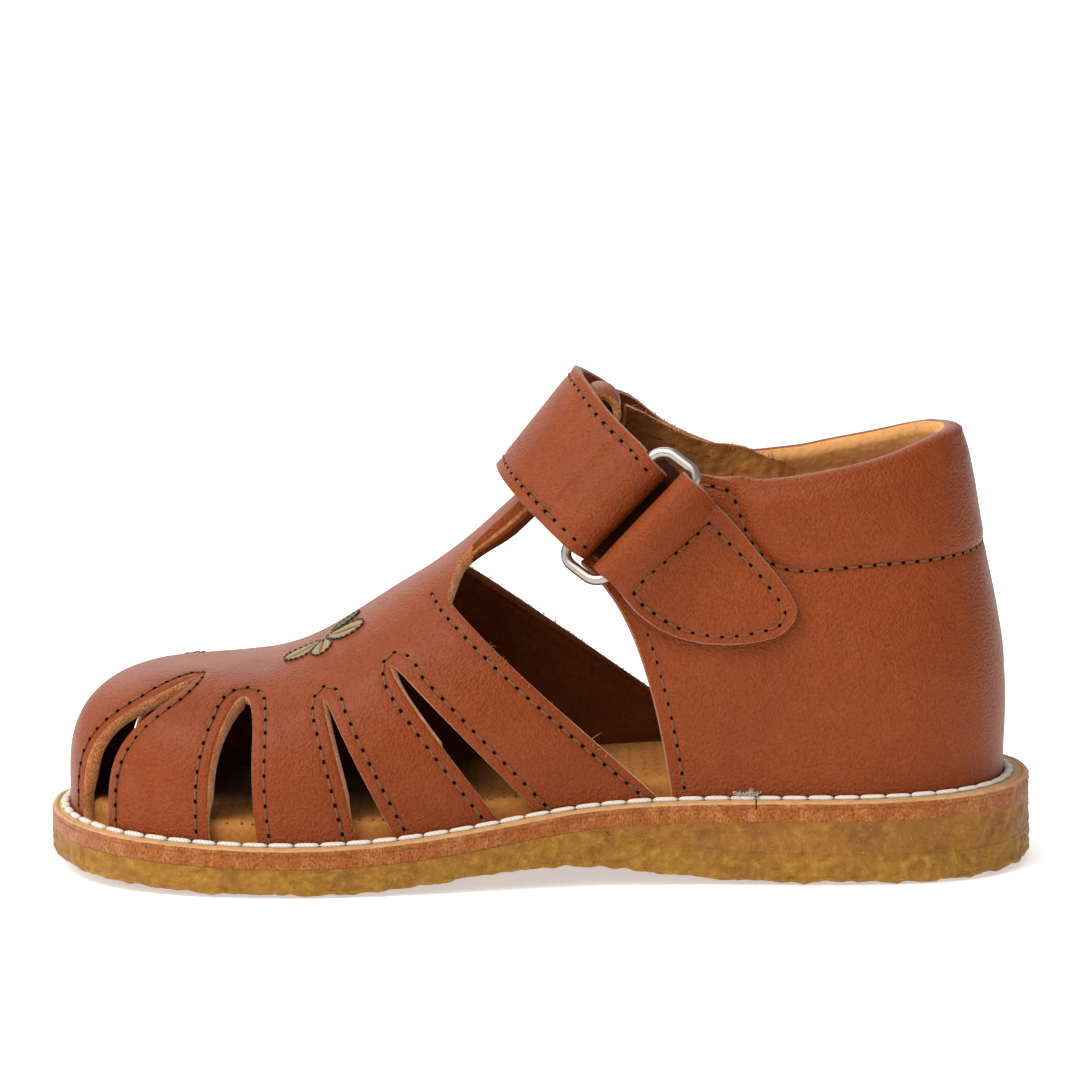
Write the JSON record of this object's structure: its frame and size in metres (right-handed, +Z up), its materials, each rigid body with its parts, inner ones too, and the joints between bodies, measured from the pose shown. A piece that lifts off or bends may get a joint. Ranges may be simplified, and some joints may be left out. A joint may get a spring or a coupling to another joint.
{
  "type": "closed-toe sandal",
  "caption": "Child's T-bar sandal with a closed slotted toe, padded collar, ankle strap turned back through an oblong ring, and a stitched crepe sole.",
  "frame": {"origin": "middle of the bounding box at floor level, where the crepe sole stands", "axes": "+X towards the heel, +Y towards the inner side of the foot, +Z up"},
  "size_m": [0.1622, 0.0628, 0.0811],
  "materials": {
    "crepe": "matte, crinkled",
    "dark_crepe": "matte, crinkled",
    "tan_leather": "raw cut edge",
    "pale_leather": "undyed, matte",
    "insole_leather": "smooth, pin-holed",
    "cognac_leather": "satin, fine grain",
    "hook_and_loop": "fuzzy",
    "satin_steel": "satin"
  },
  "bodies": {
    "root": {"outsole": "crepe", "heel_wedge": "dark_crepe", "midsole": "tan_leather", "welt": "pale_leather", "insole": "insole_leather", "upper": "cognac_leather", "ankle_strap": "cognac_leather", "closure_patch": "hook_and_loop", "ring_tab": "cognac_leather", "strap_ring": "satin_steel"}
  },
  "joints": []
}
